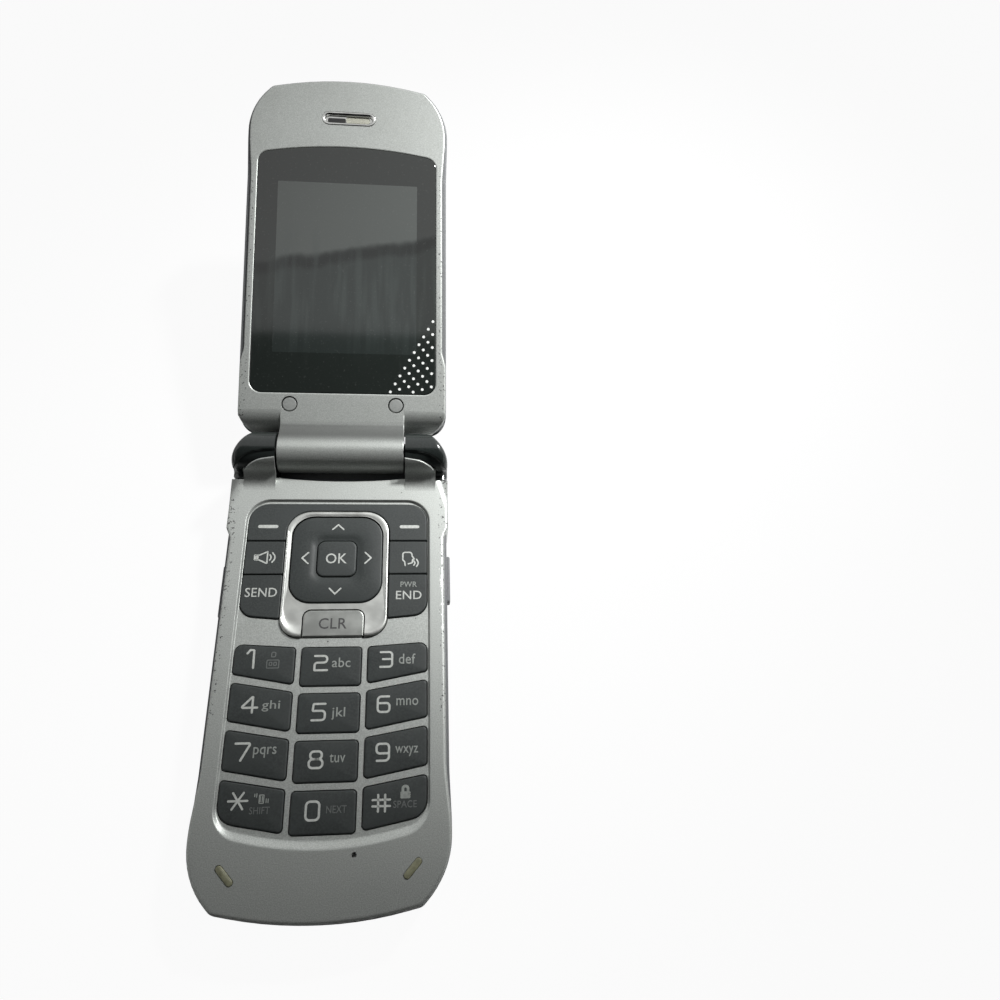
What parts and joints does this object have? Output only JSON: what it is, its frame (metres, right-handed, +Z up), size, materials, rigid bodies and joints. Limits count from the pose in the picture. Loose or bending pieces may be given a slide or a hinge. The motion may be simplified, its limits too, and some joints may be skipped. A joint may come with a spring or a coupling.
{
  "type": "flip phone",
  "caption": "Folding mobile phone, standing open: slim base with keypad and navigation ring, lid with display and earpiece, joined by a barrel hinge.",
  "frame": {"origin": "middle of the base's flat back, half way between the hinge axis and the base's far end", "axes": "+Z up from the back to the keys, +Y along the phone towards the hinge and lid, +X to the right"},
  "size_m": [0.0478, 0.1834, 0.0406],
  "materials": {
    "silver_paint": "satin silver paint with fine metal flake",
    "side_paint": "darker satin grey paint",
    "back_paint": "darker satin grey paint",
    "black_gloss": "glossy black",
    "key_plastic": "fine matte, near black grey",
    "chrome_plate": "plated plastic",
    "window_gloss": "glossy printed window",
    "display_glass": "dark display glass",
    "steel": "bright steel",
    "gold_plate": "gold-plated contact",
    "board": "green solder mask",
    "white_film": "white film",
    "silicone": "translucent grey silicone",
    "bumper_rubber": "aged yellowish clear rubber",
    "battery_wrap": "plain dark wrap",
    "black_plastic": "black moulded plastic",
    "plug_plastic": "grey plug",
    "tungsten": "dull sintered metal",
    "copper_film": "amber polyimide film"
  },
  "bodies": {
    "base": {"front_housing": "silver_paint", "rear_housing": "side_paint", "battery_pack": "battery_wrap", "battery_contacts": "gold_plate", "main_board": "board", "shield_can": "steel", "dome_sheet": "white_film", "keypad_mat": "silicone", "nav_bezel": "chrome_plate", "hinge_cover_left": "black_gloss", "hinge_cover_right": "black_gloss", "usb_socket": "steel", "headset_jack": "black_plastic", "base_screws": "steel", "rubber_bumpers": "bumper_rubber", "microphone": "steel", "loudspeaker": "black_plastic", "vibration_motor": "steel", "antenna_carrier": "white_film"},
    "lid": {"lid_inner_housing": "silver_paint", "lid_outer_housing": "side_paint", "display_window": "window_gloss", "lcd_panel": "display_glass", "earpiece_trim": "chrome_plate", "earpiece_speaker": "black_plastic", "outer_window": "black_gloss", "outer_display": "display_glass", "camera_lens": "steel", "lid_board": "board", "screw_plugs": "plug_plastic", "lid_screws": "steel", "hinge_cartridge": "steel", "hinge_bush": "black_plastic", "flex_cable": "copper_film"},
    "battery_cover": {"battery_cover": "back_paint"},
    "nav_pivot": {"nav_pivot_plate": "black_plastic"},
    "nav_ring": {"nav_ring_key": "key_plastic"},
    "soft_key_bar": {"soft_key_bar": "key_plastic"},
    "volume_rocker": {"volume_rocker": "side_paint"},
    "side_key": {"side_key": "side_paint"},
    "port_cover": {"port_cover": "side_paint"},
    "eccentric_weight": {"eccentric_weight": "tungsten"},
    "key_1": {"key_1": "key_plastic"},
    "key_2": {"key_2": "key_plastic"},
    "key_3": {"key_3": "key_plastic"},
    "key_4": {"key_4": "key_plastic"},
    "key_5": {"key_5": "key_plastic"},
    "key_6": {"key_6": "key_plastic"},
    "key_7": {"key_7": "key_plastic"},
    "key_8": {"key_8": "key_plastic"},
    "key_9": {"key_9": "key_plastic"},
    "key_star": {"key_star": "key_plastic"},
    "key_0": {"key_0": "key_plastic"},
    "key_hash": {"key_hash": "key_plastic"},
    "speaker_key": {"speaker_key": "key_plastic"},
    "voice_key": {"voice_key": "key_plastic"},
    "send_key": {"send_key": "key_plastic"},
    "end_key": {"end_key": "key_plastic"},
    "clear_key": {"clear_key": "chrome_plate"},
    "ok_key": {"ok_key": "key_plastic"}
  },
  "joints": [
    {"name": "lid_hinge", "type": "hinge", "parent": "base", "child": "lid", "pos_m": [0, 0.0467, 0.0111], "axis": [1, 0, 0], "range_deg": [0, 161.6]},
    {"name": "battery_cover_slide", "type": "slide", "parent": "base", "child": "battery_cover", "axis": [0, -1, 0], "range_m": [0, 0.004]},
    {"name": "nav_tilt_up_down", "type": "hinge", "parent": "base", "child": "nav_pivot", "pos_m": [0, 0.02167, 0.00895], "axis": [1, 0, 0], "range_deg": [-1.2, 1.2], "stiffness_Nm_per_rad": 0.3},
    {"name": "nav_tilt_left_right", "type": "hinge", "parent": "nav_pivot", "child": "nav_ring", "pos_m": [0, 0.02167, 0.00895], "axis": [0, 1, 0], "range_deg": [-1.2, 1.2], "stiffness_Nm_per_rad": 0.3},
    {"name": "soft_key_rock", "type": "hinge", "parent": "base", "child": "soft_key_bar", "pos_m": [0, 0.0298, 0.0088], "axis": [0, 1, 0], "range_deg": [-0.9, 0.9], "stiffness_Nm_per_rad": 0.5},
    {"name": "speaker_key_press", "type": "slide", "parent": "base", "child": "speaker_key", "axis": [0, 0, -1], "range_m": [0, 0.0003], "stiffness_N_per_m": 500},
    {"name": "voice_key_press", "type": "slide", "parent": "base", "child": "voice_key", "axis": [0, 0, -1], "range_m": [0, 0.0003], "stiffness_N_per_m": 500},
    {"name": "send_key_press", "type": "slide", "parent": "base", "child": "send_key", "axis": [0, 0, -1], "range_m": [0, 0.0003], "stiffness_N_per_m": 500},
    {"name": "end_key_press", "type": "slide", "parent": "base", "child": "end_key", "axis": [0, 0, -1], "range_m": [0, 0.0003], "stiffness_N_per_m": 500},
    {"name": "clear_key_press", "type": "slide", "parent": "base", "child": "clear_key", "axis": [0, 0, -1], "range_m": [0, 0.0003], "stiffness_N_per_m": 500},
    {"name": "ok_key_press", "type": "slide", "parent": "base", "child": "ok_key", "axis": [0, 0, -1], "range_m": [0, 0.0003], "stiffness_N_per_m": 500},
    {"name": "key_1_press", "type": "slide", "parent": "base", "child": "key_1", "axis": [0, 0, -1], "range_m": [0, 0.0003], "stiffness_N_per_m": 500},
    {"name": "key_2_press", "type": "slide", "parent": "base", "child": "key_2", "axis": [0, 0, -1], "range_m": [0, 0.0003], "stiffness_N_per_m": 500},
    {"name": "key_3_press", "type": "slide", "parent": "base", "child": "key_3", "axis": [0, 0, -1], "range_m": [0, 0.0003], "stiffness_N_per_m": 500},
    {"name": "key_4_press", "type": "slide", "parent": "base", "child": "key_4", "axis": [0, 0, -1], "range_m": [0, 0.0003], "stiffness_N_per_m": 500},
    {"name": "key_5_press", "type": "slide", "parent": "base", "child": "key_5", "axis": [0, 0, -1], "range_m": [0, 0.0003], "stiffness_N_per_m": 500},
    {"name": "key_6_press", "type": "slide", "parent": "base", "child": "key_6", "axis": [0, 0, -1], "range_m": [0, 0.0003], "stiffness_N_per_m": 500},
    {"name": "key_7_press", "type": "slide", "parent": "base", "child": "key_7", "axis": [0, 0, -1], "range_m": [0, 0.0003], "stiffness_N_per_m": 500},
    {"name": "key_8_press", "type": "slide", "parent": "base", "child": "key_8", "axis": [0, 0, -1], "range_m": [0, 0.0003], "stiffness_N_per_m": 500},
    {"name": "key_9_press", "type": "slide", "parent": "base", "child": "key_9", "axis": [0, 0, -1], "range_m": [0, 0.0003], "stiffness_N_per_m": 500},
    {"name": "key_star_press", "type": "slide", "parent": "base", "child": "key_star", "axis": [0, 0, -1], "range_m": [0, 0.0003], "stiffness_N_per_m": 500},
    {"name": "key_0_press", "type": "slide", "parent": "base", "child": "key_0", "axis": [0, 0, -1], "range_m": [0, 0.0003], "stiffness_N_per_m": 500},
    {"name": "key_hash_press", "type": "slide", "parent": "base", "child": "key_hash", "axis": [0, 0, -1], "range_m": [0, 0.0003], "stiffness_N_per_m": 500},
    {"name": "volume_rock", "type": "hinge", "parent": "base", "child": "volume_rocker", "pos_m": [-0.0217, 0.01595, 0.0054], "axis": [0, 0, 1], "range_deg": [-1.6, 1.6], "stiffness_Nm_per_rad": 0.2},
    {"name": "side_key_press", "type": "slide", "parent": "base", "child": "side_key", "axis": [-1, 0, 0], "range_m": [0, 0.00025], "stiffness_N_per_m": 500},
    {"name": "port_cover_swing", "type": "hinge", "parent": "base", "child": "port_cover", "pos_m": [-0.0049, -0.0464, 0.0052], "axis": [0, 0, -1], "range_deg": [0, 100]},
    {"name": "vibration_spin", "type": "hinge", "parent": "base", "child": "eccentric_weight", "pos_m": [-0.0105, 0.0222, 0.0032], "axis": [1, 0, 0], "continuous": true}
  ]
}
